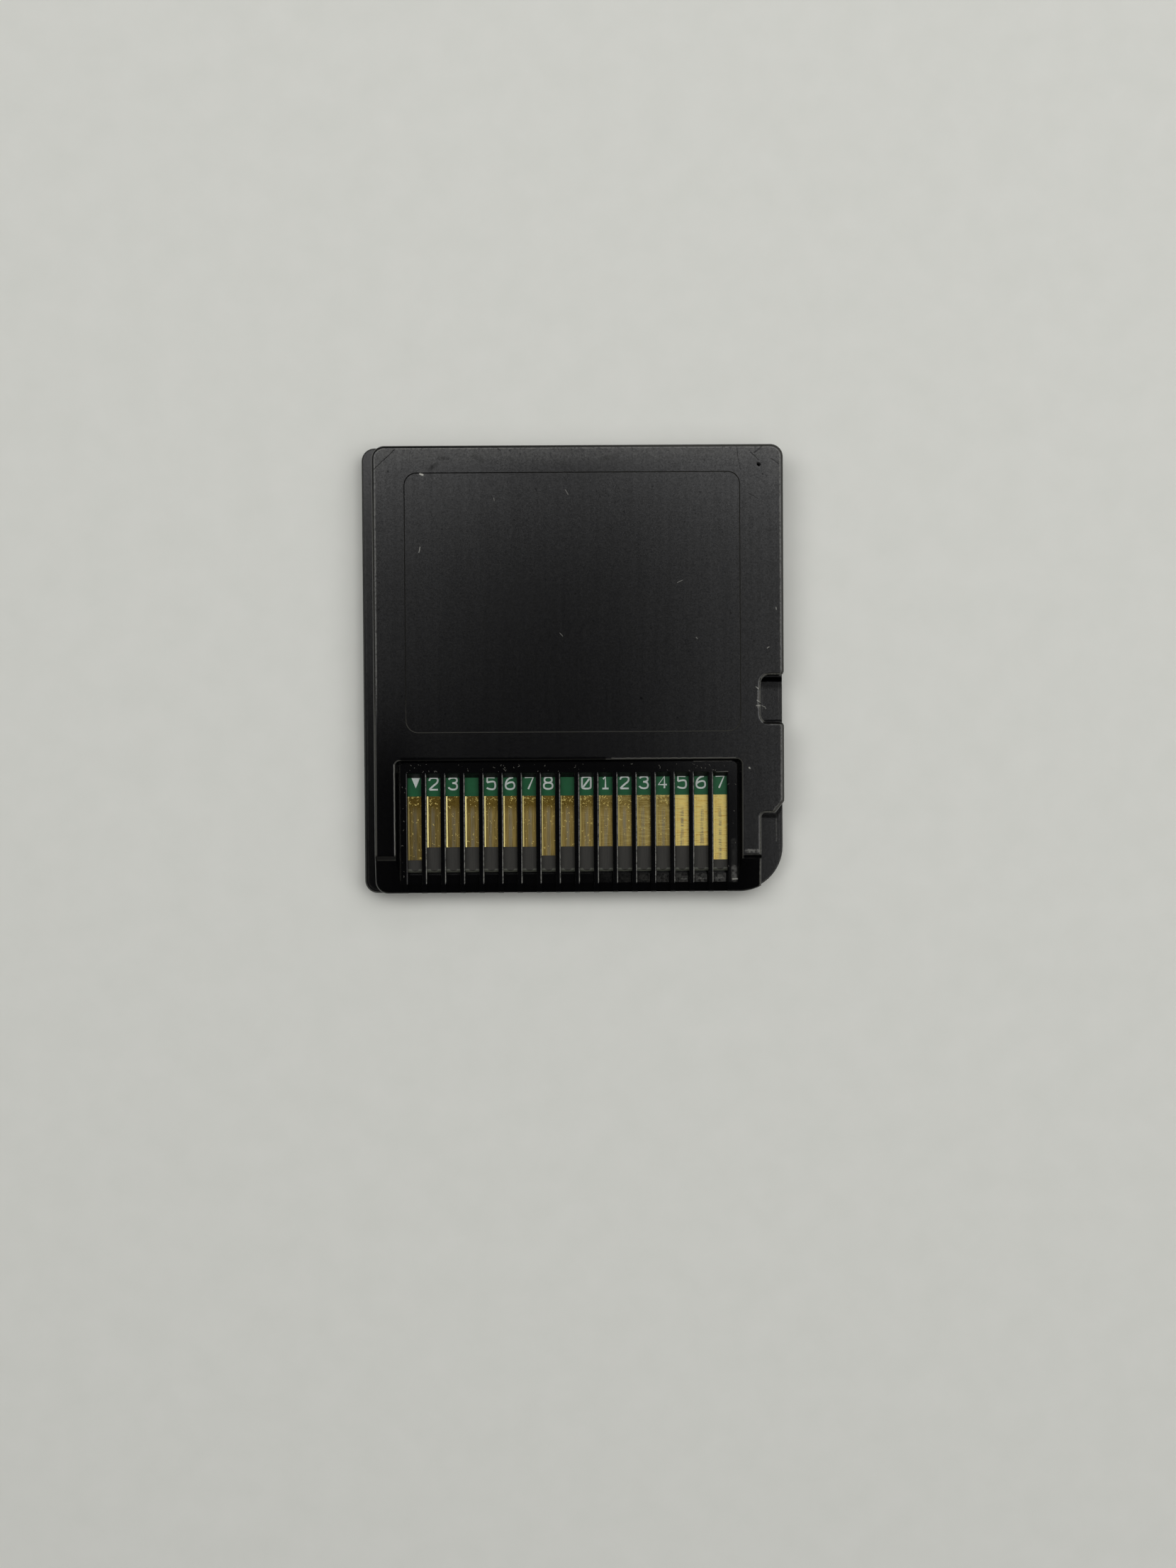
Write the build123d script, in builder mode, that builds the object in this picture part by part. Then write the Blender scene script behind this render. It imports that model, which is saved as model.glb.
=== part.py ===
from build123d import *
import os

# A flat game card: two moulded half shells around a small circuit board, in millimetres.
# It lies on its label side. X runs across the card, Y from the contact edge to the grip edge
# and Z up to the contact side. The origin is under the middle of the card.

os.makedirs("parts", exist_ok=True)

# Contacts
contact_count = 17
contact_pitch = 1.5
pad_width = 1.04
pad_length = 4.0
first_pad_length = 5.0  # this pad and two more reach nearer to the edge, so they mate first
middle_pad_length = 4.7
last_pad_length = 5.1
pad_thickness = 0.04
pad_start = 7.62  # upper end of every pad, from the contact edge

# Across the card, from its left edge to its right edge
flange_width = 0.9  # front shell that shows beside the narrower rear shell
left_cheek = 1.58  # rear shell from its left edge to the contact bay
left_shelf = 0.56  # bay floor beside the first slot
right_shelf = 0.78  # bay floor beside the last slot
right_cheek = 3.26  # rear shell from the contact bay to its right edge

# Along and through the card
card_height = 35.0
floor_thickness = 0.8  # label side wall
component_room = 1.1  # under the board
board_thickness = 0.8
rear_wall = 1.1  # contact side wall

# Outer corners and edges
corner_radius = 1.0
key_corner_radius = 3.5
rear_edge_radius = 0.25
front_edge_radius = 0.4
parting_chamfer = 0.12

# Latch notch and key step on the right edge of the rear shell
latch_depth = 1.8
latch_start = 13.3  # lower side of the notch, from the contact edge
latch_length = 3.64
latch_inner_radius = 0.6
latch_mouth_radius = 0.35
key_depth = 1.8
key_start = 6.15  # where the rear shell widens, from the contact edge
key_slant_width = 0.75
key_slant_height = 0.96
key_edge_radius = 0.35
key_inner_radius = 0.3

# Contact bay, its slots and the lead-in ramp
bay_height = 10.47  # from the contact edge
bay_depth = 0.6
bay_wall_run = 0.42  # lean of the side walls
bay_end_run = 0.2  # lean of the end wall
bay_corner_radius = 0.4
bay_edge_radius = 0.12
slot_clearance = 0.02  # beside a pad
slot_start = 9.07  # upper end of every slot at the board, from the contact edge
slot_end_run = 0.37  # lean of a slot's upper end
rib_edge_radius = 0.1
ramp_length = 3.0
ramp_drop = 0.8
bar_width = 1.43  # bar that ties the ribs together at the contact edge
bar_height = 0.6  # above the parting plane
bar_slope_length = 0.75
bar_slope_drop = 0.3

# Shallow panel, moulding mark and label recess
panel_left_margin = 2.5
panel_right_margin = 3.37
panel_top_margin = 2.1
panel_bay_gap = 2.13
panel_depth = 0.1
panel_wall_lean = 35.0  # degrees
panel_radius = 1.0
mark_radius = 0.17
mark_depth = 0.12
mark_right_margin = 1.92
mark_top_margin = 1.63
label_side_margin = 1.5
label_top_margin = 1.5
label_height = 24.0
label_depth = 0.15
label_radius = 1.0

# Inside of the shells
side_wall = 0.66  # rear shell outside the lip
end_wall = 1.5  # rear shell above the lip
lip_thickness = 0.45
lip_height = 0.5
lip_clearance = 0.05
ledge_width = 1.0  # rim of the front shell under the board
cavity_start = 10.9  # from the contact edge
cavity_radius = 0.6
support_web = 0.8  # between the pockets under the contacts
relief_inset = 1.6  # from the edge of the panel
relief_depth = 0.3
pin_radius = 0.55
pin_clearance = 0.08
pin_reach = 0.35  # above the board
pin_chamfer = 0.15
post_radius = 1.2
pin_inset = 1.6  # from the side of the board
pin_offset = 1.5  # above the contact bay

# Board
board_clearance = 0.1
board_gap = 0.21  # between the bar and the board's contact edge
board_corner_radius = 0.5
board_bevel = 0.15

# Electronic parts under the board
chip_headroom = 0.1  # to the floor of the front shell
chip_standoff = 0.05  # to the board
chip_draft = 8.0  # degrees
chip_margin = 0.8  # to the wall of the cavity
chip_gap = 0.8
chip_row_start = 2.6  # from the lower wall of the cavity
rom_width = 9.6
rom_length = 12.0
rom_leads_per_side = 14
rom_lead_pitch = 0.8
save_width = 4.4
save_length = 3.0
save_leads_per_side = 4
save_lead_pitch = 0.65
controller_size = 5.0
controller_leads_per_side = 8
controller_lead_pitch = 0.5
controller_lead_width = 0.25
controller_lead_length = 0.4
lead_width = 0.3
lead_thickness = 0.15
lead_shoulder = 0.3
lead_foot = 0.4
lead_reach = 0.9
infrared_width = 3.0
infrared_length = 1.4
infrared_spacing = 4.4
infrared_lens_radius = 0.4
resonator_width = 3.2
resonator_length = 1.3
resonator_height = 0.8
resonator_edge_radius = 0.15
passive_length = 1.0
passive_width = 0.5
passive_cap = 0.25
passive_cap_rise = 0.02
capacitor_height = 0.5
resistor_height = 0.35
passive_pitch = 2.0
passive_row_start = 1.2  # from the lower wall of the cavity
capacitor_count = 4
resistor_count = 4

# Places that follow from the sizes
slot_width = pad_width + 2 * slot_clearance
contact_span = (contact_count - 1) * contact_pitch
bay_floor_width = left_shelf + slot_width + contact_span + right_shelf
card_width = flange_width + left_cheek + bay_floor_width + 2 * bay_wall_run + right_cheek
left = -card_width / 2
right = card_width / 2
bottom = -card_height / 2
top = card_height / 2
parting_z = floor_thickness + component_room
board_z = parting_z + board_thickness
rear_z = board_z + rear_wall
rear_left = left + flange_width
bay_left = rear_left + left_cheek
bay_right = right - right_cheek
bay_top = bottom + bay_height
bay_floor_z = rear_z - bay_depth
first_contact_x = bay_left + bay_wall_run + left_shelf + slot_width / 2
contact_centre_x = first_contact_x + contact_span / 2
contact_xs = [first_contact_x + index * contact_pitch for index in range(contact_count)]
pad_top = bottom + pad_start
bar_inner = bottom + bar_width
bar_z = parting_z + bar_height
latch_x = right - latch_depth
latch_bottom = bottom + latch_start
latch_top = latch_bottom + latch_length
key_x = right - key_depth
key_y = bottom + key_start
panel_left = rear_left + panel_left_margin
panel_right = right - panel_right_margin
panel_top = top - panel_top_margin
panel_bottom = bay_top + panel_bay_gap
lip_room = lip_thickness + lip_clearance + board_clearance
board_left = rear_left + side_wall + lip_room
board_right = min(latch_x, key_x) - side_wall - lip_room
board_top = top - end_wall - lip_room
board_bottom = bar_inner + board_gap
cavity_left = board_left + ledge_width
cavity_right = board_right - ledge_width
cavity_top = board_top - ledge_width
cavity_bottom = bottom + cavity_start
pin_y = bay_top + pin_offset
pin_places = [(board_left + pin_inset, pin_y), (board_right - pin_inset, pin_y)]
chip_height = component_room - chip_headroom - chip_standoff
chip_middle_z = parting_z - chip_standoff - chip_height / 2
chip_row_y = cavity_bottom + chip_row_start
rom_x = cavity_left + chip_margin + lead_reach + rom_width / 2
rom_y = chip_row_y + rom_length / 2
chip_column_x = cavity_right - chip_margin - lead_reach - save_width / 2
controller_y = chip_row_y + controller_size / 2
resonator_y = controller_y + (controller_size + resonator_length) / 2 + chip_gap
save_y = resonator_y + (resonator_length + save_length) / 2 + chip_gap
infrared_y = cavity_top - chip_margin - infrared_lens_radius - infrared_length / 2
passive_y = cavity_bottom + passive_row_start


def span(x_from, x_to, y_from, y_to, radius=0.0):
    """Rectangle between four sides, with rounded corners if a radius is given."""
    with Locations(((x_from + x_to) / 2, (y_from + y_to) / 2)):
        if radius:
            RectangleRounded(x_to - x_from, y_to - y_from, radius)
        else:
            Rectangle(x_to - x_from, y_to - y_from)


# Outline that both shells share, with the large key corner at the lower right
with BuildSketch() as card_outline:
    with BuildLine():
        FilletPolyline(
            (left, top),
            (right, top),
            (right, bottom),
            (left, bottom),
            radius=[corner_radius, corner_radius, key_corner_radius, corner_radius],
            close=True,
        )
    make_face()

# Front shell: a tray with a lip and two pins that hold the board
with BuildPart() as front_shell:
    extrude(card_outline.sketch, amount=parting_z)
    fillet(front_shell.faces().sort_by(Axis.Z)[0].edges(), front_edge_radius)
    chamfer(front_shell.faces().sort_by(Axis.Z)[-1].edges(), parting_chamfer)
    with BuildSketch():
        label_top = top - label_top_margin
        span(
            left + label_side_margin,
            right - label_side_margin,
            label_top - label_height,
            label_top,
            label_radius,
        )
    extrude(amount=label_depth, mode=Mode.SUBTRACT)
    with BuildSketch(Plane.XY.offset(floor_thickness)):
        span(cavity_left, cavity_right, cavity_bottom, cavity_top, cavity_radius)
        pocket_pitch = 2 * contact_pitch
        pocket_bottom = board_bottom + ledge_width
        pocket_top = cavity_bottom - support_web
        with Locations((contact_centre_x, (pocket_bottom + pocket_top) / 2)):
            with GridLocations(pocket_pitch, 1, contact_count // 2, 1):
                Rectangle(pocket_pitch - support_web, pocket_top - pocket_bottom)
    extrude(amount=component_room, mode=Mode.SUBTRACT)
    with BuildSketch(Plane.XY.offset(floor_thickness)):
        with Locations(*pin_places):
            Circle(post_radius)
    extrude(amount=component_room)
    with BuildSketch(Plane.XY.offset(parting_z)):
        lip_bottom = bar_inner + lip_clearance
        lip_offset = board_clearance + lip_thickness
        span(
            board_left - lip_offset,
            board_right + lip_offset,
            lip_bottom,
            board_top + lip_offset,
        )
        with Locations(((board_left + board_right) / 2, lip_bottom)):
            Rectangle(
                board_right - board_left + 2 * board_clearance,
                2 * (board_top + board_clearance - lip_bottom),
                mode=Mode.SUBTRACT,
            )
    extrude(amount=lip_height)
    with BuildSketch(Plane.XY.offset(parting_z)):
        with Locations(*pin_places):
            Circle(pin_radius)
    extrude(amount=board_thickness + pin_reach)
    chamfer(front_shell.faces().sort_by(Axis.Z)[-2:].edges(), pin_chamfer)
front_shell.part.label = "front_shell"
export_step(front_shell.part, "parts/front_shell.step")

# Rear shell: latch notch, key step, lead-in ramp and the ribbed contact bay
with BuildPart() as rear_shell:
    with BuildSketch(Plane.XY.offset(parting_z)):
        with BuildLine():
            FilletPolyline(
                (rear_left, top),
                (right, top),
                (right, latch_top),
                (latch_x, latch_top),
                (latch_x, latch_bottom),
                (right, latch_bottom),
                (right, key_y + key_slant_height),
                (right - key_slant_width, key_y),
                (key_x, key_y),
                (key_x, bottom),
                (rear_left, bottom),
                radius=[
                    corner_radius,
                    corner_radius,
                    latch_mouth_radius,
                    latch_inner_radius,
                    latch_inner_radius,
                    latch_mouth_radius,
                    key_edge_radius,
                    key_edge_radius,
                    key_inner_radius,
                    0,
                    corner_radius,
                ],
                close=True,
            )
        make_face()
        add(card_outline.sketch, mode=Mode.INTERSECT)
    extrude(amount=rear_z - parting_z)

    # The ramp runs down to the contact edge and on past it
    ramp_top = bottom + ramp_length
    with BuildSketch(Plane.YZ.offset(left)):
        with BuildLine():
            Polyline(
                (ramp_top, rear_z),
                (ramp_top - 2 * ramp_length, rear_z - 2 * ramp_drop),
                (ramp_top - 2 * ramp_length, rear_z),
                close=True,
            )
        make_face()
    extrude(amount=card_width, mode=Mode.SUBTRACT)
    rear_face = rear_shell.faces().sort_by(Axis.Z)[-1]
    ramp_face = rear_shell.faces().filter_by(lambda face: face.normal_at().Z > 0).sort_by(Axis.Z)[-2]
    crease = rear_face.edges().sort_by(Axis.Y)[0]
    fillet([edge for edge in rear_face.edges() + ramp_face.edges() if edge != crease], rear_edge_radius)

    # Shallow panel with leaning walls, and the small moulding mark beside it
    with BuildSketch(Plane.XY.offset(rear_z)):
        span(panel_left, panel_right, panel_bottom, panel_top, panel_radius)
    extrude(amount=-panel_depth, taper=panel_wall_lean, mode=Mode.SUBTRACT)
    with BuildSketch(Plane.XY.offset(rear_z)):
        with Locations((right - mark_right_margin, top - mark_top_margin)):
            Circle(mark_radius)
    extrude(amount=-mark_depth, mode=Mode.SUBTRACT)

    # Contact bay with leaning walls, open at the contact edge
    for bay_z, side_run, end_run in ((rear_z, 0, 0), (bay_floor_z, bay_wall_run, bay_end_run)):
        with BuildSketch(Plane.XY.offset(bay_z)):
            with BuildLine():
                FilletPolyline(
                    (bay_left + side_run, bottom - bar_width),
                    (bay_left + side_run, bay_top - end_run),
                    (bay_right - side_run, bay_top - end_run),
                    (bay_right - side_run, bottom - bar_width),
                    radius=[0, bay_corner_radius, bay_corner_radius, 0],
                    close=True,
                )
            make_face()
    loft(ruled=True, mode=Mode.SUBTRACT)
    bay_edges = rear_shell.edges().filter_by_position(Axis.Z, rear_z, rear_z).filter_by_position(
        Axis.Y, ramp_top, bay_top
    )
    fillet(bay_edges.filter_by_position(Axis.X, bay_left, bay_right), bay_edge_radius)

    # One slot over each contact: down to the board, then over the bar and out at the contact edge
    slot_end = bottom + slot_start + slot_end_run
    for x in contact_xs:
        with BuildSketch(Plane.YZ.offset(x - slot_width / 2)):
            with BuildLine():
                Polyline(
                    (slot_end - slot_end_run, parting_z),
                    (slot_end - slot_end_run, board_z),
                    (slot_end, bay_floor_z),
                    (slot_end, rear_z),
                    (bottom - bar_slope_length, rear_z),
                    (bottom - bar_slope_length, bar_z - 2 * bar_slope_drop),
                    (bottom + bar_slope_length, bar_z),
                    (bar_inner, bar_z),
                    (bar_inner, parting_z),
                    close=True,
                )
            make_face()
        extrude(amount=slot_width, mode=Mode.SUBTRACT)
    bay_floor_edges = rear_shell.edges().filter_by(
        lambda edge: abs(edge.center().Z - bay_floor_z) < rib_edge_radius
    )
    rib_edges = bay_floor_edges.filter_by(Axis.Y).filter_by_position(
        Axis.X,
        first_contact_x - slot_width,
        first_contact_x + contact_span + slot_width,
    )
    fillet(rib_edges, rib_edge_radius)

    # Pocket for the board, rebate for the lip, sockets for the pins and a cored ceiling
    with BuildSketch(Plane.XY.offset(parting_z)):
        span(
            board_left - board_clearance,
            board_right + board_clearance,
            bar_inner,
            board_top + board_clearance,
        )
    extrude(amount=board_thickness, mode=Mode.SUBTRACT)
    with BuildSketch(Plane.XY.offset(parting_z)):
        span(board_left - lip_room, board_right + lip_room, bar_inner, board_top + lip_room)
    extrude(amount=lip_height + lip_clearance, mode=Mode.SUBTRACT)
    with BuildSketch(Plane.XY.offset(board_z)):
        with Locations(*pin_places):
            Circle(pin_radius + pin_clearance)
    extrude(amount=pin_reach + pin_clearance, mode=Mode.SUBTRACT)
    with BuildSketch(Plane.XY.offset(board_z)):
        span(
            panel_left + relief_inset,
            panel_right - relief_inset,
            panel_bottom + relief_inset,
            panel_top - relief_inset,
            panel_radius,
        )
    extrude(amount=relief_depth, mode=Mode.SUBTRACT)
rear_shell.part.label = "rear_shell"
export_step(rear_shell.part, "parts/rear_shell.step")

# Circuit board, with a bevelled contact edge and two holes over the pins
with BuildPart() as circuit_board:
    with BuildSketch(Plane.XY.offset(parting_z)):
        span(board_left, board_right, board_bottom, board_top, board_corner_radius)
        with Locations(*pin_places):
            Circle(pin_radius + pin_clearance, mode=Mode.SUBTRACT)
    extrude(amount=board_thickness)
    contact_edge = circuit_board.faces().sort_by(Axis.Z)[-1].edges().sort_by(Axis.Y)[0]
    chamfer(contact_edge, board_bevel)
circuit_board.part.label = "circuit_board"
export_step(circuit_board.part, "parts/circuit_board.step")

# Contact pads on the board, three of them longer than the rest
pad_lengths = [pad_length] * contact_count
pad_lengths[0] = first_pad_length
pad_lengths[contact_count // 2 - 1] = middle_pad_length
pad_lengths[-1] = last_pad_length
for number, (x, length) in enumerate(zip(contact_xs, pad_lengths), start=1):
    with BuildPart() as contact_pad:
        with BuildSketch(Plane.XY.offset(board_z)):
            with Locations((x, pad_top - length / 2)):
                Rectangle(pad_width, length)
        extrude(amount=pad_thickness)
    contact_pad.part.label = f"contact_pad_{number:02d}"
    export_step(contact_pad.part, f"parts/contact_pad_{number:02d}.step")


def chip_body(x, y, width, length):
    """Moulded package that tapers both ways from its middle, under the board."""
    with BuildPart() as body:
        for direction in (1, -1):
            with BuildSketch(Plane.XY.offset(chip_middle_z)):
                with Locations((x, y)):
                    Rectangle(width, length)
            extrude(amount=direction * chip_height / 2, taper=chip_draft)
    return body.part


def gull_leads(x, y, width, count, pitch):
    """Two rows of bent leads, from the sides of a package to the board."""
    side = x + width / 2
    foot_start = side + lead_reach - lead_foot
    bend = lead_thickness / 2
    with BuildPart() as leads:
        for row in range(count):
            row_y = y + (row - (count - 1) / 2) * pitch
            with BuildSketch(Plane.XZ.offset(-row_y)):
                with BuildLine():
                    Polyline(
                        (side, chip_middle_z - bend),
                        (side + lead_shoulder + bend, chip_middle_z - bend),
                        (foot_start + bend, parting_z - lead_thickness),
                        (side + lead_reach, parting_z - lead_thickness),
                        (side + lead_reach, parting_z),
                        (foot_start, parting_z),
                        (side + lead_shoulder, chip_middle_z + bend),
                        (side, chip_middle_z + bend),
                        close=True,
                    )
                make_face()
        extrude(amount=lead_width / 2, both=True)
        mirror(about=Plane.YZ.offset(x))
    return leads.part


def chip_component(x, height):
    """Small two-ended part with raised metal caps, under the board."""
    cap_offset = (passive_length - passive_cap) / 2
    with BuildPart() as component:
        with BuildSketch(Plane.XY.offset(parting_z)):
            with Locations((x, passive_y)):
                Rectangle(passive_length, passive_width)
        extrude(amount=-height)
        with BuildSketch(Plane.XY.offset(parting_z)):
            with Locations((x - cap_offset, passive_y), (x + cap_offset, passive_y)):
                Rectangle(passive_cap, passive_width + 2 * passive_cap_rise)
        extrude(amount=-height - passive_cap_rise)
    return component.part


# Memory chips with bent leads, and the controller of the infrared link with flat ones
pieces = {
    "rom_chip": chip_body(rom_x, rom_y, rom_width, rom_length),
    "rom_chip_leads": gull_leads(rom_x, rom_y, rom_width, rom_leads_per_side, rom_lead_pitch),
    "save_chip": chip_body(chip_column_x, save_y, save_width, save_length),
    "save_chip_leads": gull_leads(
        chip_column_x, save_y, save_width, save_leads_per_side, save_lead_pitch
    ),
    "ir_controller": chip_body(chip_column_x, controller_y, controller_size, controller_size),
}
with BuildPart() as ir_controller_leads:
    with BuildSketch(Plane.XY.offset(parting_z)):
        with Locations((chip_column_x, controller_y)):
            with PolarLocations(controller_size / 2 - controller_lead_length, 4):
                with GridLocations(1, controller_lead_pitch, 1, controller_leads_per_side):
                    Rectangle(controller_lead_length, controller_lead_width)
    extrude(amount=-chip_standoff)
pieces["ir_controller_leads"] = ir_controller_leads.part

# Infrared emitter and receiver, looking out through the grip edge
for name, side in (("ir_emitter", -1), ("ir_receiver", 1)):
    infrared_x = (cavity_left + cavity_right + side * infrared_spacing) / 2
    with BuildPart() as infrared_part:
        with BuildSketch(Plane.XY.offset(parting_z)):
            with Locations((infrared_x, infrared_y)):
                Rectangle(infrared_width, infrared_length)
            with Locations((infrared_x, infrared_y + infrared_length / 2)):
                Circle(infrared_lens_radius)
        extrude(amount=-chip_height)
    pieces[name] = infrared_part.part

# Resonator of the controller
with BuildPart() as resonator:
    with BuildSketch(Plane.XY.offset(parting_z)):
        with Locations((chip_column_x, resonator_y)):
            Rectangle(resonator_width, resonator_length)
    extrude(amount=-resonator_height)
    fillet(resonator.faces().sort_by(Axis.Z)[0].edges(), resonator_edge_radius)
pieces["resonator"] = resonator.part

# Row of capacitors and resistors between the contacts and the chips
passive_count = capacitor_count + resistor_count
for index in range(passive_count):
    passive_x = contact_centre_x + (index - (passive_count - 1) / 2) * passive_pitch
    if index < capacitor_count:
        pieces[f"capacitor_{index + 1}"] = chip_component(passive_x, capacitor_height)
    else:
        number = index - capacitor_count + 1
        pieces[f"resistor_{number}"] = chip_component(passive_x, resistor_height)

for name, piece in pieces.items():
    piece.label = name
    export_step(piece, f"parts/{name}.step")
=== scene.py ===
import math
import random
import bpy
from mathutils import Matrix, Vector


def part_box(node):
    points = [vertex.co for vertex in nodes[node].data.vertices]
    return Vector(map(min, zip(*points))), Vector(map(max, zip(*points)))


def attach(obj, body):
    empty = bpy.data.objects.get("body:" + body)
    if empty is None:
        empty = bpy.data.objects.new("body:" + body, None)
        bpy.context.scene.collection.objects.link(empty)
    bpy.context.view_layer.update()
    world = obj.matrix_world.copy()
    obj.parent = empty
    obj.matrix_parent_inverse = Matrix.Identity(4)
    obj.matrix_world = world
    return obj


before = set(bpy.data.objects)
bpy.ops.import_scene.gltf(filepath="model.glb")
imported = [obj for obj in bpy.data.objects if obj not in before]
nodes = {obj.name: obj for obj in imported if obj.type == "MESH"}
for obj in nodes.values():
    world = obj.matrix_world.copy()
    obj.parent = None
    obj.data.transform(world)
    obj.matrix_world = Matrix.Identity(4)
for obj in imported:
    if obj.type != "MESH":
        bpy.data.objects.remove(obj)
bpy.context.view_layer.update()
scene = bpy.context.scene
scene.view_settings.view_transform = "Standard"
mm = 0.001
print("frame loaded:", len(nodes), "nodes")


# sRGB hex to the linear colour that shaders and lamps take
def linear(hexColour):
    parts = [int(hexColour[i:i + 2], 16) / 255 for i in (1, 3, 5)]
    return [p / 12.92 if p <= 0.04045 else ((p + 0.055) / 1.055) ** 2.4 for p in parts] + [1.0]


# sockets take a plain value or another node's output, and a pair of sockets takes a pair of values
def feed(tree, node, inputs):
    for key, value in inputs.items():
        if isinstance(key, tuple):
            feed(tree, node, dict(zip(key, value)))
        elif isinstance(value, bpy.types.NodeSocket):
            tree.links.new(value, node.inputs[key])
        else:
            node.inputs[key].default_value = value
    return node


def addNode(tree, kind, inputs, out=0, **settings):
    node = tree.nodes.new("ShaderNode" + kind)
    for name, value in settings.items():
        setattr(node, name, value)
    return feed(tree, node, inputs).outputs[out]


# a material with its surface point in millimetres, as a vector and as x, y, z
def newMaterial(name):
    material = bpy.data.materials.new(name)
    material.use_nodes = True
    tree = material.node_tree
    metres = addNode(tree, "TexCoord", {}, out="Object")
    place = addNode(tree, "VectorMath", {0: metres, "Scale": 1 / mm}, operation="SCALE")
    x = addNode(tree, "SeparateXYZ", {0: place})
    return material, tree, place, x, x.node.outputs[1], x.node.outputs[2]


def finishMaterial(tree, inputs):
    feed(tree, tree.nodes["Principled BSDF"], inputs)


def cover(material, names):
    for name in names:
        slots = nodes[name].data.materials
        slots.clear()
        slots.append(material)


# where the card's features lie, in millimetres, read from the solids
def boxMm(name):
    low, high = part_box(name)
    return low / mm, high / mm


rearLow, rearHigh = boxMm("rear_shell")
frontLow, frontHigh = boxMm("front_shell")
boardLow, boardHigh = boxMm("circuit_board")
firstLow, firstHigh = boxMm("contact_pad_01")
secondLow = boxMm("contact_pad_02")[0]
padNames = sorted(name for name in nodes if name.startswith("contact_pad_"))
padPitch = secondLow.x - firstLow.x
firstPadX = (firstLow.x + firstHigh.x) / 2
padTop = firstHigh.y
padHalf = (firstHigh.x - firstLow.x) / 2
fineRelief = 0.004  # mm, height of the fine grain on the board, the ink and the inner parts
markCore = 0.3  # share of a mark's half width that is at full strength


# how far across a point lies from the first contact's middle, and from the nearest contact's
def acrossContacts(tree, x):
    fromFirst = addNode(tree, "Math", {0: x, 1: firstPadX}, operation="SUBTRACT")
    nearest = addNode(tree, "Math", {0: fromFirst, 1: padPitch / 2, 2: -padPitch / 2}, operation="WRAP")
    return fromFirst, nearest


# keeps a mask to one block of the card, given as middle and reach along each axis in millimetres
def keepWithin(tree, mask, axes, place):
    for value, (middle, reach) in zip(axes, place):
        near = addNode(tree, "Math", {0: value, 1: middle, 2: reach}, operation="COMPARE")
        mask = addNode(tree, "Math", {0: mask, 1: near}, operation="MULTIPLY")
    return mask


# soft union of thin marks: each is start, end, half width and strength, and fades over its own width
def lineMask(tree, spot, lines):
    mask = 0.0
    for start, end, half, strength in lines:
        run = Vector((end[0] - start[0], end[1] - start[1], 0))
        away = addNode(tree, "VectorMath", {0: spot, 1: (*start, 0)}, operation="SUBTRACT")
        along = addNode(tree, "VectorMath", {0: away, 1: run / run.length_squared}, out="Value",
                        operation="DOT_PRODUCT")
        share = addNode(tree, "Clamp", {0: along})
        nearest = addNode(tree, "VectorMath", {0: run, "Scale": share}, operation="SCALE")
        gap = addNode(tree, "VectorMath", {0: away, 1: nearest}, out="Value", operation="DISTANCE")
        line = addNode(tree, "MapRange", {0: gap, 1: half, 2: half * markCore, 4: strength},
                       interpolation_type="SMOOTHSTEP")
        mask = addNode(tree, "Math", {0: line, 1: mask}, operation="MAXIMUM")
    return mask


# distance outside a rounded rectangle seen from above, in millimetres, negative inside it
def outsideOf(tree, place, low, high, radius):
    middle = ((low[0] + high[0]) / 2, (low[1] + high[1]) / 2, 0)
    half = ((high[0] - low[0]) / 2 - radius, (high[1] - low[1]) / 2 - radius, 0)
    away = addNode(tree, "VectorMath", {0: place, 1: middle}, operation="SUBTRACT")
    away = addNode(tree, "VectorMath", {0: away}, operation="ABSOLUTE")
    away = addNode(tree, "VectorMath", {0: away, 1: half}, operation="SUBTRACT")
    away = addNode(tree, "VectorMath", {0: away, 1: (1, 1, 0)}, operation="MULTIPLY")
    beyond = addNode(tree, "VectorMath", {0: away, 1: (0, 0, 0)}, operation="MAXIMUM")
    reach = addNode(tree, "VectorMath", {0: beyond}, out="Value", operation="LENGTH")
    across = addNode(tree, "SeparateXYZ", {0: away})
    deep = addNode(tree, "Math", {0: across, 1: across.node.outputs[1]}, operation="MAXIMUM")
    deep = addNode(tree, "Math", {0: deep, 1: 0.0}, operation="MINIMUM")
    gap = addNode(tree, "Math", {0: reach, 1: deep}, operation="ADD")
    return addNode(tree, "Math", {0: gap, 1: radius}, operation="SUBTRACT")


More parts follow.
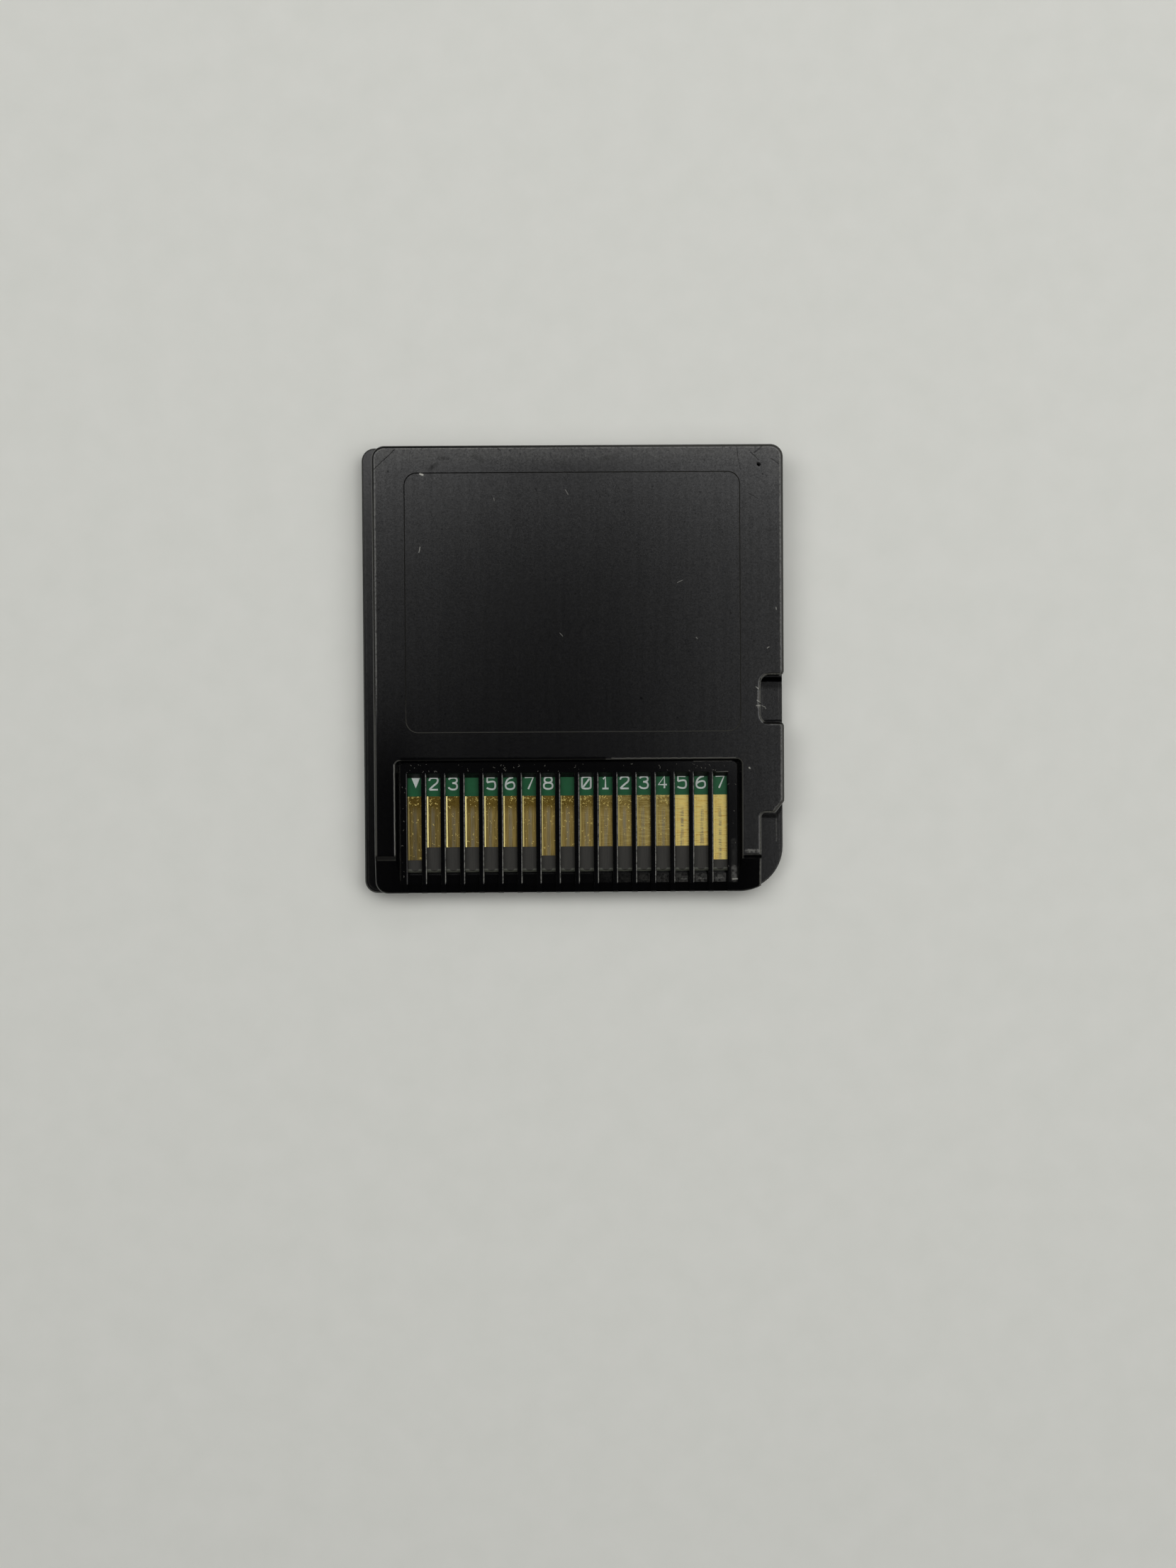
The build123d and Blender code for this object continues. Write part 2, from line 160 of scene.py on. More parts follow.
shell = {
    "dye": "#040405", "rubbedAndSheen": "#66655f", "whitenedAndHighlight": "#b4b3aa",
    "ior": 1.54, "satin": 0.17, "polished": 0.1, "sawn": 0.5, "worn": 0.5,  # roughness of each finish
    "grain": 0.035, "grainDepth": 0.00075,  # mm, spark-eroded grain
    "polishedGrain": 0.25, "gouge": 4.0,  # in shares of that depth
    "speckle": 0.22, "sand": 0.11, "streaks": (0.35, 8.0), "freckleGap": 1.1,  # mm, size of each pattern
    "freckle": (0.09, 0.03), "freckleLoss": 0.5,  # shares of that gap, and of the gloss
    "streakRange": (0.3, 0.7), "streakGloss": (0.465, 0.535),
    "sandRange": (0.25, 0.75), "sandGloss": (0.7, 1.3),
    "waver": 0.4, "waverReach": 0.05, "fade": 0.1, "slotFade": 0.05,  # mm, how marks wander and end
    "edgeIn": 0.26, "edgeHalf": (0.07, 0.02), "openingIn": 0.14,  # mm, rubbed line inside the edges
    "broken": (0.35, 0.65), "brokenLeast": 0.25, "uneven": (0.35, 0.6), "unevenLeast": 0.2,
    "bandReach": (1.9, 0.3), "edgeRound": (0.14, 0.24), "bandAlong": (13.5, 16.6),  # mm, below the top edge
    "bandLeast": 0.04, "mottle": (0.3, 0.75), "mottleWear": (0.2, 0.95),
    "slidAlong": (-0.5, -9.0), "slidAcross": (-11.0, -14.5), "wallIn": (0.15, 0.2),  # mm
    "slidClear": 0.4,  # share of the polish that leaves no rubbed line
    "ribEdge": 0.59, "ribHalf": (0.05, 0.015), "scuffAcross": (1.0, 12.0),  # mm
    "wallRight": (-12.0, 8.0), "wallLow": (-1.0, -4.5), "wallSide": (14.5, 12.0),  # mm, wall of the panel
    "wallRightTone": (0.03, 0.28), "wallLowTone": 0.4, "wallSideTone": 0.12,
    # middle and reach across, along and up, in mm
    "ribs": ((-0.85, 11.95), (-12.45, 4.25), (3.16, 0.1)),
    "step": ((0.0, 0.47), (-16.4, 0.35), (2.2, 0.85)),  # across from each contact
    "slotEnds": ((-0.55, 12.8), (-8.1, 0.8)),
    "panelWall": (rearHigh.z - 0.05, 0.045),  # up only
}
rear = {
    # runs on past the contact edge, which has no rubbed line
    "outline": ((rearLow.x, rearLow.y - 5), (rearHigh.x, rearHigh.y), 1.0),
    "openings": [
        ((14.7, -4.2), (20.0, -0.56), 0.6),  # latch notch
        ((14.7, -30.0), (20.0, -11.35), 0.3),  # key step
    ],
    "edgeWear": 0.85, "bandWearAndSheen": 0.28, "ribHighlightStrength": 0.45, "stepWear": 0.35, "slidWear": 1.0,
    "polishedBelow": rearHigh.z - 0.2, "slotsBelow": rearHigh.z - 0.62, "marksAbove": rearLow.z,
    "darkLines": [
        ((-15.4, 15.65), (-13.75, 17.2), 0.045, 0.75),  # gouge across the top left corner
        ((14.55, 15.9), (14.6, 15.86), 0.2, 1.0),  # moulding mark
        ((12.91, 17.25), (12.93, 16.6), 0.05, 0.6),  # hairline beside the panel, in two runs
        ((12.93, 16.6), (13.15, 15.5), 0.05, 0.3),
        ((14.0, 16.8), (14.55, 16.25), 0.06, 0.5),  # scuffs in the top right corner
        ((14.25, 16.8), (14.85, 17.3), 0.09, 0.5),
        ((15.55, 16.35), (16.15, 15.9), 0.06, 0.5),
        ((13.75, 13.65), (14.55, 13.2), 0.06, 0.25),
        ((-5.8, 17.3), (-5.55, 17.05), 0.05, 0.5),  # nick in the top edge, with a faint tail
        ((-5.55, 17.05), (-5.15, 15.9), 0.04, 0.25),
        ((14.45, -2.62), (14.68, -2.78), 0.04, 1.0),  # latch scratch beside the notch
        ((-13.4, -6.98), (2.4, -6.98), 0.2, 0.8),  # painted shade on the upper rim of the contact bay, dimming its sheen
        ((-15.4, -14.65), (-14.1, -14.65), 0.3, 0.8),  # painted shade at both ends of the lead-in ramp, where it starts
        ((13.4, -14.72), (14.75, -14.72), 0.26, 1.0),
        ((14.95, -4.28), (16.4, -4.28), 0.16, 0.9),  # painted shade along the lower edge of the notch
    ],
    "smears": [
        ((-10.3, 16.5), (-9.6, 16.5), 0.2, 0.5),  # in the top margin
        ((-11.05, 15.65), (-10.5, 16.05), 0.22, 0.5),
        ((-7.6, 16.6), (-6.9, 16.3), 0.3, 0.3),
        ((2.4, 16.4), (3.6, 16.6), 0.3, 0.25),
        ((5.3, -2.25), (5.35, -2.3), 0.14, 0.9),  # dark dots
        ((-14.3, 15.45), (-14.28, 15.5), 0.12, 0.7),
        ((-13.3, 10.15), (-13.28, 10.1), 0.12, 0.6),
    ],
    "paleLines": [
        ((-11.8, 15.3), (-11.6, 15.22), 0.11, 1.0),  # chip in the panel's top edge
        ((-11.85, 9.6), (-11.95, 9.2), 0.05, 0.5),  # short nicks on the panel
        ((-0.5, 14.0), (-0.3, 13.65), 0.045, 0.3),
        ((-6.1, 13.4), (-6.05, 13.2), 0.045, 0.3),
        ((-1.0, 2.85), (-0.8, 2.6), 0.04, 0.3),
        ((8.2, 6.74), (8.6, 6.9), 0.04, 0.3),
        ((9.65, 2.44), (9.74, 2.37), 0.045, 0.4),
        ((15.9, 4.75), (15.92, 4.6), 0.05, 0.5),  # ticks in the right margin
        ((15.2, 1.56), (15.34, 1.65), 0.05, 0.5),
        ((14.3, -1.45), (14.5, -1.6), 0.05, 0.5),  # latch scratches beside the notch
        ((14.4, -2.5), (14.6, -2.68), 0.05, 0.5),
        ((14.35, -2.9), (14.6, -2.9), 0.09, 0.4),
        ((13.73, -7.75), (13.77, -7.8), 0.09, 0.6),  # speck beside the contact bay
        ((12.45, -16.5), (12.8, -16.5), 0.08, 0.6),  # bright end of the right shelf
        ((-14.02, -7.4), (-14.0, -14.4), 0.045, 0.25),  # painted highlights on the left and upper rim of the contact bay
        ((3.0, -6.95), (12.7, -6.95), 0.04, 0.2),
        ((9.4, -7.22), (12.4, -7.22), 0.03, 0.25),  # foot of its end wall
        ((11.2, -8.07), (12.1, -8.07), 0.04, 0.3),  # end of the last slot
    ],
    "wornLines": [
        ((14.44, -1.5), (14.44, -3.1), 0.07, 0.6),  # notch edge
        ((14.95, -0.46), (16.2, -0.46), 0.06, 0.5),
        ((13.5, -14.28), (14.6, -14.28), 0.2, 0.8),  # start of the lead-in ramp
        ((15.6, -11.15), (16.2, -10.35), 0.07, 0.5),  # slanted edge of the key step
        ((-13.62, -7.5), (-13.62, -16.4), 0.05, 0.15),  # foot of the left wall
        ((12.55, -13.5), (12.55, -16.5), 0.3, 0.08),  # right shelf, more at its end
        ((12.55, -15.6), (12.55, -16.5), 0.3, 0.4),
        ((8.3, -16.5), (8.9, -16.5), 0.1, 0.5),  # scuffs on the bar
        ((9.8, -16.48), (10.4, -16.48), 0.1, 0.6),
        ((11.2, -16.45), (11.6, -16.45), 0.12, 0.5),
    ],
}
front = {
    "outline": ((frontLow.x, frontLow.y), (frontHigh.x, frontHigh.y), 1.0), "openings": [],
    "edgeWear": 0.12, "bandWearAndSheen": 0.1, "ribHighlightStrength": 0.0, "stepWear": 0.0, "slidWear": 0.0,
    "polishedBelow": -1.0, "slotsBelow": -1.0,  # under the card, so neither shows
    "marksAbove": (frontLow.z + frontHigh.z) / 2,
    "darkLines": [
        ((14.95, -11.62), (15.95, -11.62), 0.26, 0.7),  # in the shade of the key step
        ((15.95, -11.55), (16.45, -10.85), 0.2, 0.6),
        ((14.9, -0.84), (16.4, -0.84), 0.38, 1.0),  # in the shade of the notch's upper wall
        ((14.9, -1.25), (16.4, -1.25), 0.45, 0.5),
        ((14.9, -4.1), (16.4, -4.1), 0.12, 0.8),  # painted shade at the foot of its lower wall
    ],
    "smears": [],
    "paleLines": [
        ((14.9, -2.9), (15.15, -3.0), 0.05, 0.5),  # latch scratch on the floor of the notch
        ((15.15, -3.0), (15.22, -3.15), 0.04, 0.5),
    ],
    "wornLines": [
        ((16.0, -11.2), (16.0, -13.6), 0.08, 0.3),  # floor of the key step
        ((14.95, -1.3), (14.95, -3.4), 0.08, 0.12),  # floor of the notch
    ],
}


# Black ABS, injection moulded against a spark-eroded tool: its dye is so dense that it has almost no colour
# of its own and shows what it reflects in a satin sheen, grey where hands have rubbed it; some grey and some
# dark lines are painted light and shade: highlights on the rib edges and bay rims, a sheen below the top
# edge, shade at the notch, the key step and the ramp's start
def makeShellPlastic(name, look):
    material, tree, place, x, y, z = newMaterial(name)
    grain = addNode(tree, "TexNoise", {"Vector": place, "Scale": 1 / shell["grain"], "Detail": 2.0})
    speckle = addNode(tree, "TexNoise", {"Vector": place, "Scale": 1 / shell["speckle"], "Detail": 4.0})
    # marks wander a little from their straight lines
    sway = shell["waverReach"]
    wander = addNode(tree, "TexNoise", {"Vector": place, "Scale": 1 / shell["waver"], "Detail": 2.0},
                     out="Color")
    spot = addNode(tree, "VectorMath", {0: wander, 1: (2 * sway, 2 * sway, 0), 2: (-sway, -sway, 0)},
                   operation="MULTIPLY_ADD")
    spot = addNode(tree, "VectorMath", {0: place, 1: (1, 1, 0), 2: spot}, operation="MULTIPLY_ADD")
    # and stay off the face that lies below
    sunken = addNode(tree, "MapRange", {0: z, 1: look["marksAbove"], 2: look["marksAbove"] - shell["fade"]})
    sunken = addNode(tree, "CombineXYZ", {2: sunken})
    spot = addNode(tree, "VectorMath", {0: spot, 1: sunken}, operation="ADD")
    # distance in from the outline and from its openings, which are rubbed nearer their edge
    inside = outsideOf(tree, place, *look["outline"])
    inside = addNode(tree, "Math", {0: inside, 1: -1.0}, operation="MULTIPLY")
    for opening in look["openings"]:
        gap = outsideOf(tree, place, *opening)
        gap = addNode(tree, "Math", {0: gap, 1: shell["openingIn"]}, operation="ADD")
        inside = addNode(tree, "Math", {0: inside, 1: gap}, operation="MINIMUM")
    # rubbed line just inside the rounded edge
    off = addNode(tree, "Math", {0: inside, 1: shell["edgeIn"]}, operation="SUBTRACT")
    off = addNode(tree, "Math", {0: off}, operation="ABSOLUTE")
    edge = addNode(tree, "MapRange", {0: off, (1, 2): shell["edgeHalf"], 4: look["edgeWear"]},
                   interpolation_type="SMOOTHSTEP")
    broken = addNode(tree, "MapRange", {0: speckle, (1, 2): shell["broken"], 3: shell["brokenLeast"]})
    edge = addNode(tree, "Math", {0: edge, 1: broken}, operation="MULTIPLY")
    # the lower left slides along a console's slot, which polishes it and takes the rubbed line away
    slid = addNode(tree, "MapRange", {0: y, (1, 2): shell["slidAlong"], 4: look["slidWear"]})
    slidSide = addNode(tree, "MapRange", {0: x, (1, 2): shell["slidAcross"]})
    slid = addNode(tree, "Math", {0: slid, 1: slidSide}, operation="MULTIPLY")
    unslid = addNode(tree, "MapRange", {0: slid, 2: shell["slidClear"], 3: 1.0, 4: 0.0})
    edge = addNode(tree, "Math", {0: edge, 1: unslid}, operation="MULTIPLY")
    # mottled band on the flat face below the top edge, lighter towards the top: rubbing, and a painted sheen
    # of the lamps beyond that edge
    bandAndSheen = addNode(tree, "MapRange", {0: inside, (1, 2): shell["bandReach"], 4: look["bandWearAndSheen"]},
                   interpolation_type="SMOOTHSTEP")
    flat = addNode(tree, "MapRange", {0: inside, (1, 2): shell["edgeRound"]})
    upward = addNode(tree, "MapRange", {0: y, (1, 2): shell["bandAlong"], 3: shell["bandLeast"]})
    mottled = addNode(tree, "MapRange", {0: speckle, (1, 2): shell["mottle"], (3, 4): shell["mottleWear"]})
    for share in (flat, upward, mottled):
        bandAndSheen = addNode(tree, "Math", {0: bandAndSheen, 1: share}, operation="MULTIPLY")
    worn = lineMask(tree, spot, look["wornLines"])
    uneven = addNode(tree, "MapRange", {0: speckle, (1, 2): shell["uneven"], 3: shell["unevenLeast"]})
    worn = addNode(tree, "Math", {0: worn, 1: uneven}, operation="MULTIPLY")
    # painted highlight on the right-hand top edge of every rib between the contacts
    pitch = acrossContacts(tree, x)[1]
    off = addNode(tree, "Math", {0: pitch, 1: shell["ribEdge"]}, operation="ADD")
    off = addNode(tree, "Math", {0: off}, operation="ABSOLUTE")
    ribHighlight = addNode(tree, "MapRange", {0: off, (1, 2): shell["ribHalf"], 4: look["ribHighlightStrength"]})
    ribHighlight = keepWithin(tree, ribHighlight, (x, y, z), shell["ribs"])
    ribHighlight = addNode(tree, "Math", {0: ribHighlight, 1: uneven}, operation="MULTIPLY")
    # step below the contacts, scuffed towards the right
    step = addNode(tree, "MapRange", {0: x, (1, 2): shell["scuffAcross"], 4: look["stepWear"]})
    step = keepWithin(tree, step, (pitch, y, z), shell["step"])
    step = addNode(tree, "Math", {0: step, 1: uneven}, operation="MULTIPLY")
    # wall of the shallow panel, lighter towards the right and the contacts
    rightward = addNode(tree, "MapRange", {0: x, (1, 2): shell["wallRight"], (3, 4): shell["wallRightTone"]})
    downward = addNode(tree, "MapRange", {0: y, (1, 2): shell["wallLow"], 4: shell["wallLowTone"]})
    sideward = addNode(tree, "MapRange", {0: y, (1, 2): shell["wallSide"], 4: shell["wallSideTone"]})
    lip = addNode(tree, "Math", {0: rightward, 1: downward}, operation="MAXIMUM")
    lip = addNode(tree, "Math", {0: lip, 1: sideward}, operation="MAXIMUM")
    lip = keepWithin(tree, lip, [z], [shell["panelWall"]])
    rubAndSheen = worn
    for mark in (edge, bandAndSheen, step, lip):
        rubAndSheen = addNode(tree, "Math", {0: rubAndSheen, 1: mark}, operation="MAXIMUM")
    dark = lineMask(tree, spot, look["darkLines"])
    pale = lineMask(tree, spot, look["paleLines"])
    # the painted rib highlights take the pale colour
    pale = addNode(tree, "Math", {0: pale, 1: ribHighlight}, operation="MAXIMUM")
    # grey for rubbing and painted sheen, pale for whitened marks and painted highlights, dye for dark marks
    # and painted shade
    colour = linear(shell["dye"])
    for mark, tone in ((rubAndSheen, "rubbedAndSheen"), (pale, "whitenedAndHighlight"), (dark, "dye")):
        colour = addNode(tree, "Mix", {0: mark, 6: colour, 7: linear(shell[tone])}, out=2, data_type="RGBA")
    # polished in the contact bay and where it slides, satin with a fine grain on the rest and the outer walls
    bayLevel = look["polishedBelow"]
    sunk = addNode(tree, "MapRange", {0: z, 1: bayLevel + shell["fade"], 2: bayLevel})
    walled = addNode(tree, "MapRange", {0: inside, (1, 2): shell["wallIn"]})
    sunk = addNode(tree, "Math", {0: sunk, 1: walled}, operation="MULTIPLY")
    sunk = addNode(tree, "Math", {0: sunk, 1: slid}, operation="MAXIMUM")
    rough = addNode(tree, "MapRange", {0: sunk, 3: shell["satin"], 4: shell["polished"]})
    slot = addNode(tree, "MapRange", {0: z, 1: look["slotsBelow"], 2: look["slotsBelow"] - shell["slotFade"]})
    slot = keepWithin(tree, slot, (x, y), shell["slotEnds"])
    rough = addNode(tree, "Mix", {0: slot, 2: rough, 3: shell["sawn"]}, data_type="FLOAT")
    rough = addNode(tree, "Mix", {0: rubAndSheen, 2: rough, 3: shell["worn"]}, data_type="FLOAT")
    relief = addNode(tree, "MapRange", {0: sunk, 3: 1.0, 4: shell["polishedGrain"]})
    height = addNode(tree, "Math", {0: grain, 1: relief}, operation="MULTIPLY")
    height = addNode(tree, "Math", {0: dark, 1: -shell["gouge"], 2: height}, operation="MULTIPLY_ADD")
    bump = addNode(tree, "Bump", {"Height": height, "Strength": 1.0, "Distance": shell["grainDepth"] * mm})
    # gouges, painted shade lines, freckles and faint streaks along the card send back less light
    narrow, long = shell["streaks"]
    upright = addNode(tree, "VectorMath", {0: place, 1: (1 / narrow, 1 / long, 1)}, operation="MULTIPLY")
    streak = addNode(tree, "TexNoise", {"Vector": upright, "Scale": 1.0, "Detail": 2.0})
    gloss = addNode(tree, "MapRange", {0: streak, (1, 2): shell["streakRange"], (3, 4): shell["streakGloss"]})
    sandy = addNode(tree, "TexNoise", {"Vector": place, "Scale": 1 / shell["sand"], "Detail": 1.0})
    sandy = addNode(tree, "MapRange", {0: sandy, (1, 2): shell["sandRange"], (3, 4): shell["sandGloss"]})
    gloss = addNode(tree, "Math", {0: gloss, 1: sandy}, operation="MULTIPLY")
    freckle = addNode(tree, "TexVoronoi", {"Vector": place, "Scale": 1 / shell["freckleGap"]}, out="Distance")
    freckle = addNode(tree, "MapRange", {0: freckle, (1, 2): shell["freckle"], 4: shell["freckleLoss"]})
    smear = lineMask(tree, spot, look["smears"])
    smear = addNode(tree, "Math", {0: smear, 1: uneven}, operation="MULTIPLY")
    lost = addNode(tree, "Math", {0: dark, 1: freckle}, operation="MAXIMUM")
    lost = addNode(tree, "Math", {0: lost, 1: smear}, operation="MAXIMUM")
    kept = addNode(tree, "Math", {0: 1.0, 1: lost}, operation="SUBTRACT")
    gloss = addNode(tree, "Math", {0: gloss, 1: kept}, operation="MULTIPLY")
    finishMaterial(tree, {"Base Color": colour, "Roughness": rough, "IOR": shell["ior"],
                          "Specular IOR Level": gloss, "Normal": bump})
    return material


cover(makeShellPlastic("blackAbsRear", rear), ["rear_shell"])
cover(makeShellPlastic("blackAbsFront", front), ["front_shell"])
print("shell plastic done")


board = {
    "mask": "#1a5c37", "maskDeep": "#124a2b", "bareAndShade": "#23211c", "streak": "#2c2a24", "worn": "#54564c",
    "ior": 1.5, "rough": (0.6, 0.25), "gloss": (0.5, 0.3),  # bare, masked
    "cloud": 0.5, "cutMarks": (0.05, 1.5), "maskEdge": padTop + 0.01, "maskFade": 0.01,  # mm
    "streakRange": (0.4, 0.7), "cutStrength": 0.4,
    "wornReach": (0.32, 0.2), "scallop": (0.3, 0.2), "scallopUp": 0.28,  # mm, up from the contact edge
    "scallopEdge": (0.85, 1.15),  # shares of its size
}


# Glass-epoxy laminate: green solder mask, screen printed and cured to a soft gloss, stops at the contacts;
# below them the bare laminate, brown-grey and darkened further as painted shade in the contact windows, shows
# fine cut streaks and a worn edge
def makeBoardLaminate():
    material, tree, place, x, y = newMaterial("solderMaskedLaminate")[:5]
    cloudy = addNode(tree, "TexNoise", {"Vector": place, "Scale": 1 / board["cloud"], "Detail": 3.0})
    green = addNode(tree, "Mix", {0: cloudy, 6: linear(board["mask"]), 7: linear(board["maskDeep"])}, out=2,
                    data_type="RGBA")
    narrow, long = board["cutMarks"]
    stretched = addNode(tree, "VectorMath", {0: place, 1: (1 / narrow, 1 / long, 1)}, operation="MULTIPLY")
    cutMarks = addNode(tree, "TexNoise", {"Vector": stretched, "Scale": 1.0, "Detail": 2.0})
    streaks = addNode(tree, "MapRange", {0: cutMarks, (1, 2): board["streakRange"]})
    bareAndShade = addNode(tree, "Mix", {0: streaks, 6: linear(board["bareAndShade"]), 7: linear(board["streak"])}, out=2,
                   data_type="RGBA")
    # worn corners beside a dark scallop under each contact
    local = acrossContacts(tree, x)[1]
    up = addNode(tree, "Math", {0: y, 1: boardLow.y + board["scallopUp"]}, operation="SUBTRACT")
    spot = addNode(tree, "CombineXYZ", {0: local, 1: up})
    wide, high = board["scallop"]
    oval = addNode(tree, "VectorMath", {0: spot, 1: (1 / wide, 1 / high, 0)}, operation="MULTIPLY")
    fromOval = addNode(tree, "VectorMath", {0: oval}, out="Value", operation="LENGTH")
    outside = addNode(tree, "MapRange", {0: fromOval, (1, 2): board["scallopEdge"]},
                      interpolation_type="SMOOTHSTEP")
    wornFrom, wornTo = board["wornReach"]
    edge = addNode(tree, "MapRange", {0: y, 1: boardLow.y + wornFrom, 2: boardLow.y + wornTo},
                   interpolation_type="SMOOTHSTEP")
    worn = addNode(tree, "Math", {0: edge, 1: outside}, operation="MULTIPLY")
    bareAndShade = addNode(tree, "Mix", {0: worn, 6: bareAndShade, 7: linear(board["worn"])}, out=2, data_type="RGBA")
    masked = addNode(tree, "MapRange", {0: y, 1: board["maskEdge"] - board["maskFade"], 2: board["maskEdge"]})
    colour = addNode(tree, "Mix", {0: masked, 6: bareAndShade, 7: green}, out=2, data_type="RGBA")
    rough = addNode(tree, "MapRange", {0: masked, (3, 4): board["rough"]})
    bump = addNode(tree, "Bump", {"Height": cutMarks, "Strength": board["cutStrength"],
                                  "Distance": fineRelief * mm})
    gloss = addNode(tree, "MapRange", {0: masked, (3, 4): board["gloss"]})
    finishMaterial(tree, {"Base Color": colour, "Roughness": rough, "IOR": board["ior"],
                          "Specular IOR Level": gloss, "Normal": bump})
    return material


cover(makeBoardLaminate(), ["circuit_board"])
print("board done")


contact = {
    "gold": "#a68f53", "deepGold": "#6d5d31", "wiped": "#857f6b", "rawGold": "#7d6831", "rawDeep": "#4a3c17",
    "brushedGold": "#ffec98", "brushedDeep": "#c4a352", "bright": "#fff0a4",
    "smooth": 0.27, "brushed": 0.6, "rawGlints": 0.8, "flank": 0.4,  # roughness of each finish
    "plateGrain": 0.06, "wipeMarks": (0.05, 1.6), "brushMarks": (0.9, 0.1),  # mm, size of each pattern
    "wipeHalf": (0.221, 0.052), "wipeDrift": 0.08, "wipeTop": (padTop - 0.7, padTop - 1.4),  # mm
    "wipeRange": (0.35, 0.6), "wipeShare": (0.15, 0.85), "mottle": (0.28, 0.72),
    "fleck": 0.14, "fleckPatch": 0.2, "rawBelowTop": 1.1,  # mm
    "fleckCurl": 0.05, "fleckLimit": (0.66, 0.53), "glint": (0.5, 0.62),
    "flankWidth": 0.1, "flankSolid": 0.7,  # mm, and the share of it that is bright
    "flankBest": 2.0, "flankSpread": (6.0, 1.0), "flankLeast": 0.3,  # counted in contacts from the first
    "crossGrain": (7.5, 7.9), "faintBrush": 0.25, "lean": 0.15,  # mm across the card, share and slope
    "relief": 0.012,  # mm, and each mark's share of it below
    "grainHeight": (0.7, 0.3), "wipeHeight": 0.4, "brushHeight": 1.5, "flankHeight": 1.5,
}


# Hard gold over nickel, electroplated on etched copper: dull and streaked where a socket's springs have wiped
# it, with raw crystals above the wipe and brush marks across the last ones, both with painted glints, and a
# painted highlight on the raw flank of the first contacts
def makeContactGold():
    material, tree, place, x, y = newMaterial("hardGoldPlate")[:5]
    fromFirst, local = acrossContacts(tree, x)
    count = addNode(tree, "Math", {0: fromFirst, 1: padPitch}, operation="DIVIDE")
    number = addNode(tree, "Math", {0: count}, operation="ROUND")
    chance = addNode(tree, "TexWhiteNoise", {"W": number}, noise_dimensions="1D")
    grain = addNode(tree, "TexNoise", {"Vector": place, "Scale": 1 / contact["plateGrain"], "Detail": 3.0})
    across, along = contact["wipeMarks"]
    drawn = addNode(tree, "VectorMath", {0: place, 1: (1 / across, 1 / along, 1)}, operation="MULTIPLY")
    wipes = addNode(tree, "TexNoise", {"Vector": drawn, "Scale": 1.0, "Detail": 2.0})
    across, along = contact["brushMarks"]
    drawn = addNode(tree, "VectorMath", {0: place, 1: (1 / across, 1 / along, 1)}, operation="MULTIPLY")
    crossGrain = addNode(tree, "TexNoise", {"Vector": drawn, "Scale": 1.0, "Detail": 4.0})
    brushFrom, brushTo = contact["crossGrain"]
    crossed = addNode(tree, "MapRange", {0: x, 1: brushFrom, 2: brushTo})
    faint = addNode(tree, "MapRange", {0: x, 2: brushFrom, 4: contact["faintBrush"]})
    crossed = addNode(tree, "Math", {0: crossed, 1: faint}, operation="MAXIMUM")
    # wipe mark, a little off the middle on each contact, from below the raw end downwards
    drift = addNode(tree, "MapRange", {0: chance, 3: -contact["wipeDrift"], 4: contact["wipeDrift"]})
    off = addNode(tree, "Math", {0: local, 1: drift}, operation="SUBTRACT")
    off = addNode(tree, "Math", {0: off}, operation="ABSOLUTE")
    core = addNode(tree, "MapRange", {0: off, (1, 2): contact["wipeHalf"]}, interpolation_type="SMOOTHSTEP")
    below = addNode(tree, "MapRange", {0: y, (1, 2): contact["wipeTop"]})
    wiped = addNode(tree, "Math", {0: core, 1: below}, operation="MULTIPLY")
    streaky = addNode(tree, "MapRange", {0: wipes, (1, 2): contact["wipeRange"],
                                         (3, 4): contact["wipeShare"]})
    wiped = addNode(tree, "Math", {0: wiped, 1: streaky}, operation="MULTIPLY")
    mottle = addNode(tree, "Mix", {0: below, 2: grain, 3: wipes}, data_type="FLOAT")
    mottle = addNode(tree, "Mix", {0: crossed, 2: mottle, 3: crossGrain}, data_type="FLOAT")
    mottle = addNode(tree, "MapRange", {0: mottle, (1, 2): contact["mottle"]})
    tones = {}
    for deep, light in (("rawDeep", "rawGold"), ("deepGold", "gold"), ("brushedDeep", "brushedGold")):
        tones[light] = addNode(tree, "Mix", {0: mottle, 6: linear(contact[deep]), 7: linear(contact[light])},
                               out=2, data_type="RGBA")
    colour = addNode(tree, "Mix", {0: below, 6: tones["rawGold"], 7: tones["gold"]}, out=2, data_type="RGBA")
    colour = addNode(tree, "Mix", {0: crossed, 6: colour, 7: tones["brushedGold"]}, out=2, data_type="RGBA")
    colour = addNode(tree, "Mix", {0: wiped, 6: colour, 7: linear(contact["wiped"])}, out=2, data_type="RGBA")
    # raw spots are rougher and carry painted glints: curled flecks near the top, glints between brush marks
    curl = addNode(tree, "TexNoise", {"Vector": place, "Scale": 1 / contact["fleck"], "Detail": 1.0})
    curl = addNode(tree, "Math", {0: curl, 1: 0.5, 2: contact["fleckCurl"]}, operation="COMPARE")
    patch = addNode(tree, "TexNoise", {"Vector": place, "Scale": 1 / contact["fleckPatch"], "Detail": 1.0,
                                       "W": 3.0}, noise_dimensions="4D")
    limit = addNode(tree, "MapRange", {0: y, 1: padTop - contact["rawBelowTop"], 2: padTop,
                                       (3, 4): contact["fleckLimit"]})
    fleck = addNode(tree, "Math", {0: patch, 1: limit}, operation="GREATER_THAN")
    fleck = addNode(tree, "Math", {0: fleck, 1: curl}, operation="MULTIPLY")
    glint = addNode(tree, "MapRange", {0: crossGrain, (1, 2): contact["glint"]})
    glint = addNode(tree, "Math", {0: glint, 1: crossed}, operation="MULTIPLY")
